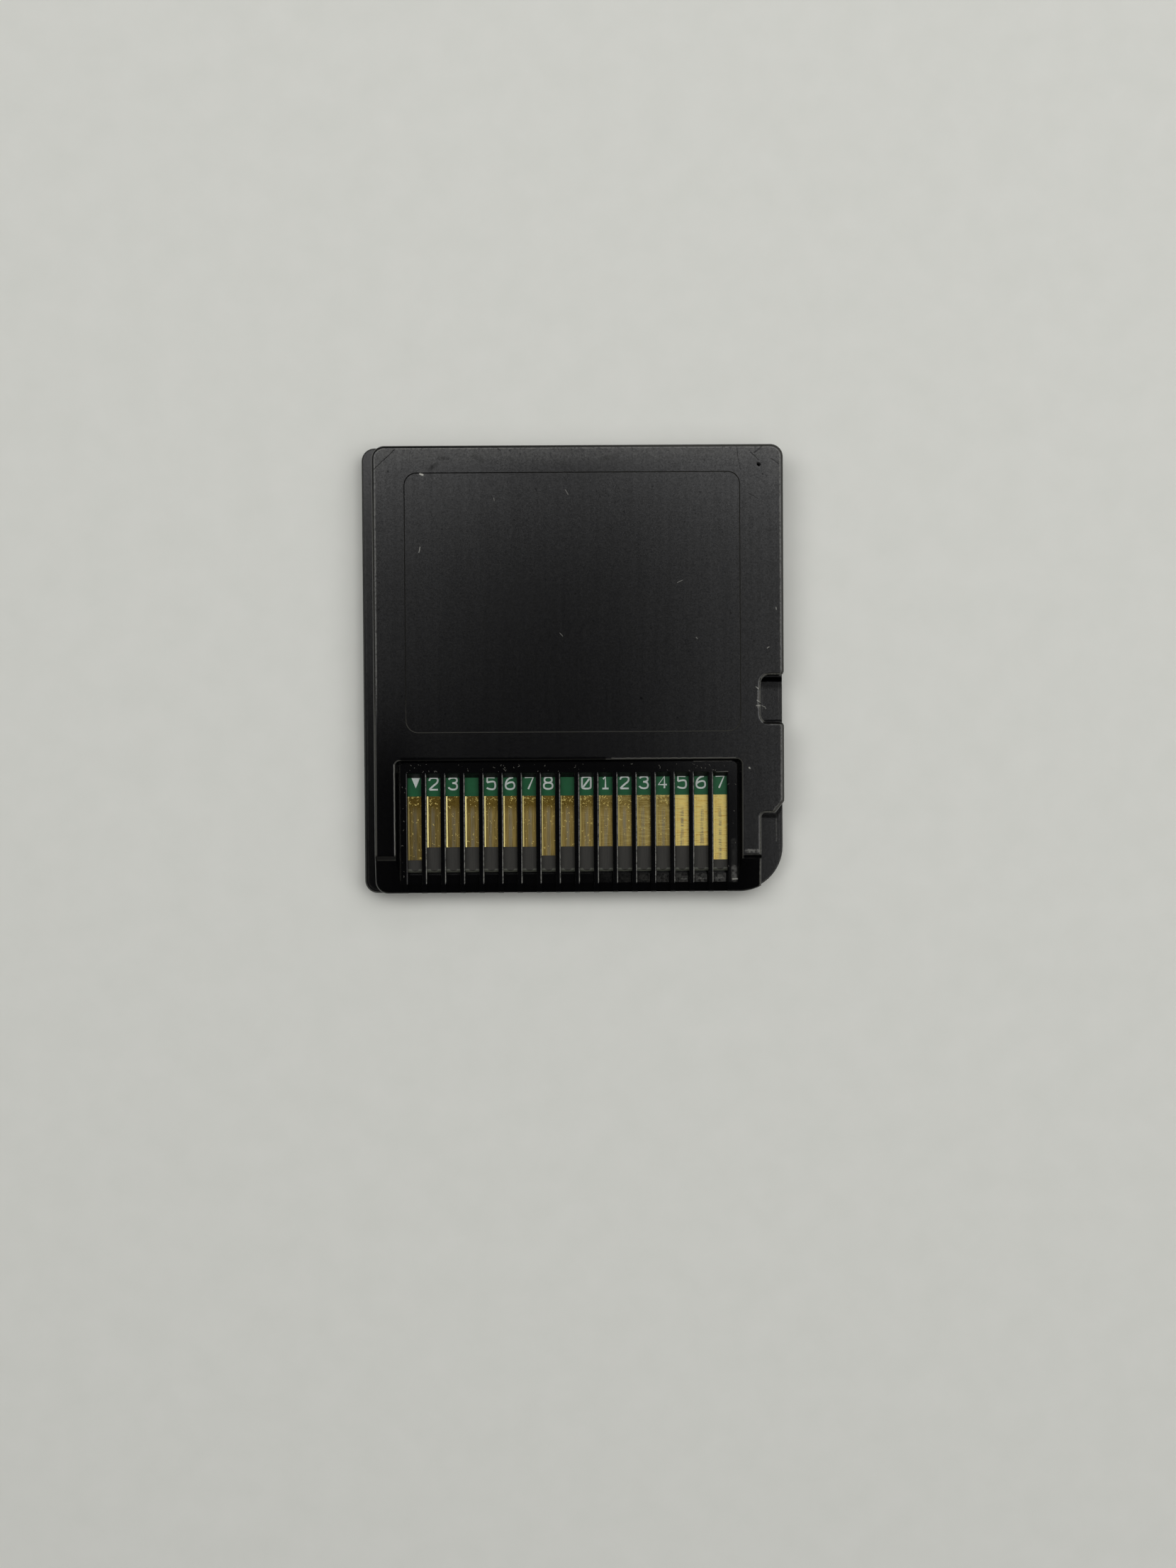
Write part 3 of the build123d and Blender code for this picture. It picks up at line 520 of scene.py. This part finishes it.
    # the etched left edge stands proud and slopes inwards, with a painted highlight on the first contacts
    slope = addNode(tree, "MapRange", {0: local, 1: -padHalf, 2: -padHalf + contact["flankWidth"]})
    flank = addNode(tree, "MapRange", {0: slope, 1: 1.0, 2: contact["flankSolid"]})
    near = addNode(tree, "Math", {0: number, 1: contact["flankBest"]}, operation="SUBTRACT")
    near = addNode(tree, "Math", {0: near}, operation="ABSOLUTE")
    share = addNode(tree, "MapRange", {0: near, (1, 2): contact["flankSpread"], 3: contact["flankLeast"]})
    first = addNode(tree, "MapRange", {0: number, 3: contact["flankLeast"]})
    share = addNode(tree, "Math", {0: share, 1: first}, operation="MULTIPLY")
    flank = addNode(tree, "Math", {0: flank, 1: share}, operation="MULTIPLY")
    rawGlints = addNode(tree, "Math", {0: fleck, 1: glint}, operation="MAXIMUM")
    bright = addNode(tree, "Math", {0: rawGlints, 1: flank}, operation="MAXIMUM")
    # the painted glints and flank highlight take the bright colour
    colour = addNode(tree, "Mix", {0: bright, 6: colour, 7: linear(contact["bright"])}, out=2,
                     data_type="RGBA")
    rough = addNode(tree, "MapRange", {0: x, 1: firstLow.x, 2: brushTo, 3: contact["smooth"],
                                       4: contact["brushed"]})
    rough = addNode(tree, "Mix", {0: rawGlints, 2: rough, 3: contact["rawGlints"]}, data_type="FLOAT")
    rough = addNode(tree, "Mix", {0: flank, 2: rough, 3: contact["flank"]}, data_type="FLOAT")
    # crystals stand up above the wipe, brush marks on the last contacts, which lean towards the grip edge
    standing = addNode(tree, "MapRange", {0: below, (3, 4): contact["grainHeight"]})
    height = addNode(tree, "Math", {0: grain, 1: standing}, operation="MULTIPLY")
    ridges = addNode(tree, "Math", {0: crossGrain, 1: crossed}, operation="MULTIPLY")
    lean = addNode(tree, "Math", {0: y, 1: padTop}, operation="SUBTRACT")
    lean = addNode(tree, "Math", {0: lean, 1: crossed}, operation="MULTIPLY")
    rise = addNode(tree, "Math", {0: slope, 1: share}, operation="MULTIPLY")
    for form, rate in ((wipes, contact["wipeHeight"]), (ridges, contact["brushHeight"]),
                       (lean, -contact["lean"] / contact["relief"]), (rise, -contact["flankHeight"])):
        height = addNode(tree, "Math", {0: form, 1: rate, 2: height}, operation="MULTIPLY_ADD")
    bump = addNode(tree, "Bump", {"Height": height, "Strength": 1.0, "Distance": contact["relief"] * mm})
    finishMaterial(tree, {"Base Color": colour, "Metallic": 1.0, "Roughness": rough, "Normal": bump})
    return material


cover(makeContactGold(), padNames)
print("contacts done:", len(padNames))


# the parts under the board, out of sight in the closed card, with the size of their grain in mm
grainStrength = 0.5
inner = {
    # matt black, sandy from its silica filler
    "epoxyMouldCompound": {
        "nodes": ["rom_chip", "save_chip", "ir_controller"] + [f"resistor_{i}" for i in range(1, 5)],
        "from": "#191a1b", "to": "#26272a", "rough": (0.55, 0.75), "ior": 1.55, "metal": 0.0, "grain": 0.08,
    },
    # soft white metal with a fine plated grain
    "mattTinPlate": {
        "nodes": ["rom_chip_leads", "save_chip_leads", "ir_controller_leads"],
        "from": "#b9bbbd", "to": "#d6d7d6", "rough": (0.32, 0.48), "ior": 1.5, "metal": 1.0, "grain": 0.05,
    },
    # tan, smooth from the kiln
    "firedCapacitorCeramic": {
        "nodes": [f"capacitor_{i}" for i in range(1, 5)],
        "from": "#8c6a49", "to": "#a58362", "rough": (0.4, 0.55), "ior": 1.6, "metal": 0.0, "grain": 0.06,
    },
    # cast epoxy, glassy and violet black
    "darkInfraredResin": {
        "nodes": ["ir_emitter", "ir_receiver"],
        "from": "#120c12", "to": "#1e1220", "rough": (0.12, 0.2), "ior": 1.54, "metal": 0.0, "grain": 0.6,
    },
    # cream ceramic with a thin glaze
    "glazedResonatorCeramic": {
        "nodes": ["resonator"],
        "from": "#cfc8b4", "to": "#e0dac8", "rough": (0.35, 0.5), "ior": 1.6, "metal": 0.0, "grain": 0.1,
    },
}
for name, look in inner.items():
    material, tree, place = newMaterial(name)[:3]
    grain = addNode(tree, "TexNoise", {"Vector": place, "Scale": 1 / look["grain"], "Detail": 3.0})
    colour = addNode(tree, "Mix", {0: grain, 6: linear(look["from"]), 7: linear(look["to"])}, out=2,
                     data_type="RGBA")
    rough = addNode(tree, "MapRange", {0: grain, (3, 4): look["rough"]})
    bump = addNode(tree, "Bump", {"Height": grain, "Strength": grainStrength, "Distance": fineRelief * mm})
    finishMaterial(tree, {"Base Color": colour, "Roughness": rough, "Metallic": look["metal"],
                          "IOR": look["ior"], "Normal": bump})
    cover(material, look["nodes"])
print("inner parts done")


# pin numbers and the pin one arrow, screen printed on the board above the contacts
marking = {
    "ink": "#c9cfca", "thin": "#aab3ad", "rough": 0.55, "ior": 1.5, "uneven": 0.3, "skipped": (4, 9),
    "film": 0.12, "width": 0.7, "height": 0.93, "base": -9.35, "stroke": 0.15, "thick": 0.012,  # mm
}
# strokes of each digit, in shares of its width and height
digits = {
    "0": [("loop", [(-0.5, 0.3), (-0.5, 0), (0.5, 0), (0.5, 0.3), (0.5, 0.7), (0.5, 1), (-0.5, 1),
                    (-0.5, 0.7)]),
          ("line", [(-0.35, 0.15), (0.35, 0.85)])],
    "1": [("line", [(-0.25, 0.8), (0, 1), (0, 0)]), ("line", [(-0.35, 0), (0.35, 0)])],
    "2": [("bend", [(-0.48, 0.75), (-0.48, 1), (0.48, 1), (0.48, 0.6), (-0.1, 0.3), (-0.48, 0)]),
          ("line", [(-0.48, 0), (0.48, 0)])],
    "3": [("bend", [(-0.45, 0.85), (-0.3, 1), (0.48, 1), (0.48, 0.55), (-0.05, 0.55)]),
          ("bend", [(-0.05, 0.55), (0.5, 0.55), (0.5, 0), (-0.35, 0), (-0.48, 0.2)])],
    "4": [("line", [(0.2, 0), (0.2, 1), (-0.48, 0.3), (0.48, 0.3)])],
    "5": [("line", [(0.42, 1), (-0.42, 1), (-0.42, 0.58)]),
          ("bend", [(-0.42, 0.58), (0.1, 0.68), (0.5, 0.62), (0.5, 0), (-0.2, 0), (-0.48, 0.12)])],
    "6": [("bend", [(0.35, 1), (-0.1, 0.95), (-0.5, 0.6), (-0.5, 0), (0.5, 0), (0.5, 0.58), (-0.1, 0.6),
                    (-0.45, 0.4)])],
    "7": [("line", [(-0.48, 1), (0.48, 1), (-0.1, 0)])],
    "8": [("loop", [(-0.42, 0.53), (-0.42, 1), (0.42, 1), (0.42, 0.53)]),
          ("loop", [(-0.5, 0), (-0.5, 0.53), (0.5, 0.53), (0.5, 0)])],
}


# Epoxy marking ink, screen printed: matt grey-white with a slightly uneven film
def makeMarkingInk():
    material, tree, place = newMaterial("epoxyMarkingInk")[:3]
    film = addNode(tree, "TexNoise", {"Vector": place, "Scale": 1 / marking["film"], "Detail": 2.0})
    colour = addNode(tree, "Mix", {0: film, 6: linear(marking["ink"]), 7: linear(marking["thin"])}, out=2,
                     data_type="RGBA")
    bump = addNode(tree, "Bump", {"Height": film, "Strength": marking["uneven"], "Distance": fineRelief * mm})
    finishMaterial(tree, {"Base Color": colour, "Roughness": marking["rough"], "IOR": marking["ior"],
                          "Normal": bump})
    return material


def addPiece(name, data, material):
    piece = bpy.data.objects.new(name, data)
    scene.collection.objects.link(piece)
    data.materials.append(material)
    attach(piece, "root")
    return piece


# a round wire along strokes in millimetres: straight lines, open bends or closed loops
def addStrokes(name, strokes, thick, material):
    wire = bpy.data.curves.new(name, "CURVE")
    wire.dimensions = "3D"
    wire.bevel_depth = thick / 2 * mm
    wire.bevel_resolution = 2
    wire.resolution_u = 6
    wire.use_fill_caps = True
    for kind, points in strokes:
        spline = wire.splines.new("POLY" if kind == "line" else "NURBS")
        spline.points.add(len(points) - 1)
        for point, spot in zip(spline.points, points):
            point.co = (*(Vector(spot).to_3d() * mm), 1.0)
        if kind != "line":
            spline.order_u = 3
            spline.use_endpoint_u = kind == "bend"
            spline.use_cyclic_u = kind == "loop"
    return addPiece(name, wire, material)


markingInk = makeMarkingInk()
for pin in range(2, len(padNames) + 1):
    if pin in marking["skipped"]:
        continue
    strokes = [(kind, [(px * marking["width"], py * marking["height"]) for px, py in points])
               for kind, points in digits[str(pin % 10)]]
    digit = addStrokes(f"pinNumber{pin:02d}", strokes, marking["stroke"], markingInk)
    digit.scale.z = marking["thick"] / marking["stroke"]  # a flat film
    digit.location = Vector((firstPadX + padPitch * (pin - 1), marking["base"],
                             boardHigh.z + marking["thick"] / 2)) * mm

arrow = {"at": (-12.4, -8.43), "half": 0.33, "drop": 0.8}  # mm
arrowX, arrowY = arrow["at"]
corners = [(arrowX - arrow["half"], arrowY), (arrowX + arrow["half"], arrowY),
           (arrowX, arrowY - arrow["drop"])]
points = [(px * mm, py * mm, (boardHigh.z + lift) * mm)
          for lift in (0, marking["thick"]) for px, py in corners]
mesh = bpy.data.meshes.new("pinOneArrow")
mesh.from_pydata(points, [], [(0, 1, 2), (5, 4, 3), (0, 3, 4, 1), (1, 4, 5, 2), (2, 5, 3, 0)])
addPiece("pinOneArrow", mesh, markingInk)
print("printed marks done")


# lint caught in the corners of the contact bay
lint = {
    "grey": "#6f6d67", "pale": "#b4b2a8", "rough": 0.9, "ior": 1.5,
    "fuzz": 0.2, "thick": 0.016, "floor": 3.2, "shortStep": 0.006, "moreStep": 0.04,  # mm
    "curl": 0.6, "points": 5, "seed": 4,  # most radians turned at each point
    "patches": [  # mm across, along, and how many
        ((-13.3, 12.2), (-8.0, -7.35), 70),
        ((-13.55, -13.15), (-16.3, -8.2), 12),
        ((11.95, 12.75), (-16.0, -8.2), 10),
    ],
}


# Cotton lint: dull grey-white fibres, soft and uneven
def makeLint():
    material, tree, place = newMaterial("cottonLint")[:3]
    fuzz = addNode(tree, "TexNoise", {"Vector": place, "Scale": 1 / lint["fuzz"], "Detail": 2.0})
    colour = addNode(tree, "Mix", {0: fuzz, 6: linear(lint["grey"]), 7: linear(lint["pale"])}, out=2,
                     data_type="RGBA")
    finishMaterial(tree, {"Base Color": colour, "Roughness": lint["rough"], "IOR": lint["ior"]})
    return material


random.seed(lint["seed"])
fibres = []
for (xFrom, xTo), (yFrom, yTo), amount in lint["patches"]:
    for fibre in range(amount):
        spot = Vector((random.uniform(xFrom, xTo), random.uniform(yFrom, yTo), 0))
        spot.z = lint["floor"] + lint["thick"] / 2
        heading = random.uniform(0, 2 * math.pi)
        curl = random.uniform(-lint["curl"], lint["curl"])
        step = lint["shortStep"] + lint["moreStep"] * random.random() ** 2
        path = []
        for turn in range(lint["points"]):
            path.append(spot.copy())
            spot += Vector((math.cos(heading), math.sin(heading), 0)) * step
            heading += curl
        fibres.append(("bend", path))
addStrokes("lintFibres", fibres, lint["thick"], makeLint())
print("lint done:", len(fibres))


# a sheet of white paper that curves up far behind the card
paper = {
    "white": "#efefe9", "shade": "#e7e8e1", "rough": 0.85, "gloss": 0.2,
    "cloud": 3.0,  # mm
    "flat": 0.8, "rise": 0.45, "wall": 0.7,  # m
    "steps": 8, "sides": 72,
}


# Uncoated wood-pulp paper: white, matt, with a faint cloudy formation
def makePaper():
    material, tree, place = newMaterial("uncoatedPaper")[:3]
    cloud = addNode(tree, "TexNoise", {"Vector": place, "Scale": 1 / paper["cloud"], "Detail": 4.0})
    colour = addNode(tree, "Mix", {0: cloud, 6: linear(paper["white"]), 7: linear(paper["shade"])}, out=2,
                     data_type="RGBA")
    finishMaterial(tree, {"Base Color": colour, "Roughness": paper["rough"],
                          "Specular IOR Level": paper["gloss"]})
    return material


turns = [math.pi / 2 * step / paper["steps"] for step in range(paper["steps"] + 1)]
profile = [(paper["flat"] + paper["rise"] * math.sin(t), paper["rise"] * (1 - math.cos(t))) for t in turns]
profile.append((paper["flat"] + paper["rise"], paper["wall"]))
rings = [(r * math.cos(2 * math.pi * s / paper["sides"]), r * math.sin(2 * math.pi * s / paper["sides"]), h)
         for r, h in profile for s in range(paper["sides"])]
faces = [list(range(paper["sides"]))]
for ring in range(len(profile) - 1):
    for s in range(paper["sides"]):
        a = ring * paper["sides"] + s
        b = ring * paper["sides"] + (s + 1) % paper["sides"]
        faces.append((a, a + paper["sides"], b + paper["sides"], b))
sheet = bpy.data.meshes.new("paperFloor")
sheet.from_pydata(rings, [], faces)
sheet.shade_smooth()
floor = bpy.data.objects.new("paperFloor", sheet)
scene.collection.objects.link(floor)
sheet.materials.append(makePaper())


# soft light from beyond the grip edge and from both sides, with dim cards between them for a gradual sheen;
# the wide one lifts the shadows and stays out of reflections
lamps = {
    "topLeftSoftbox": {"at": (-0.1955, 0.154, 0.45), "size": (0.369, 0.182), "radiance": 2.4},
    "topRightSoftbox": {"at": (0.1955, 0.154, 0.45), "size": (0.369, 0.182), "radiance": 2.4},
    "rightSoftbox": {"at": (0.29, -0.02, 0.45), "size": (0.38, 0.16), "radiance": 1.7},
    "rightCard": {"at": (0.065, 0.023, 0.45), "size": (0.07, 0.074), "radiance": 0.46},
    "lowRightCard": {"at": (0.077, -0.057, 0.45), "size": (0.046, 0.086), "radiance": 0.74},
    "leftSoftbox": {"at": (-0.25, 0.0375, 0.45), "size": (0.27, 0.055), "radiance": 2.0},
    "leftCard": {"at": (-0.07, 0.032, 0.45), "size": (0.08, 0.062), "radiance": 0.35},
    "skyFill": {"at": (0.2, 0.25, 0.6), "size": (1.2, 1.2), "radiance": 0.5, "mirrored": False},
}  # m
for name, lamp in lamps.items():
    light = bpy.data.lights.new(name, "AREA")
    light.shape = "RECTANGLE"
    light.size, light.size_y = lamp["size"]
    light.energy = lamp["radiance"] * math.pi * light.size * light.size_y  # watts for that radiance
    source = bpy.data.objects.new(name, light)
    source.location = lamp["at"]
    source.visible_camera = False
    source.visible_glossy = lamp.get("mirrored", True)
    scene.collection.objects.link(source)
room = {"white": "#ffffff", "strength": 0.015}
world = bpy.data.worlds.new("dimRoom")
world.use_nodes = True
feed(world.node_tree, world.node_tree.nodes["Background"],
     {"Color": linear(room["white"]), "Strength": room["strength"]})
scene.world = world
print("stage and lamps done")


# the camera looks down on the card, nearly square to it
view = {
    "at": (-0.709, -4.054, 197.671), "near": 5.0, "sensor": 36.0, "lens": 56.96,  # mm
    "tilt": (-1.444, -0.55, -0.374),  # degrees
}
camera = bpy.data.cameras.new("camera")
camera.sensor_fit = "VERTICAL"
camera.sensor_height = view["sensor"]
camera.lens = view["lens"]
camera.clip_start = view["near"] * mm
viewer = bpy.data.objects.new("camera", camera)
viewer.location = Vector(view["at"]) * mm
viewer.rotation_euler = [math.radians(a) for a in view["tilt"]]
scene.collection.objects.link(viewer)
scene.camera = viewer
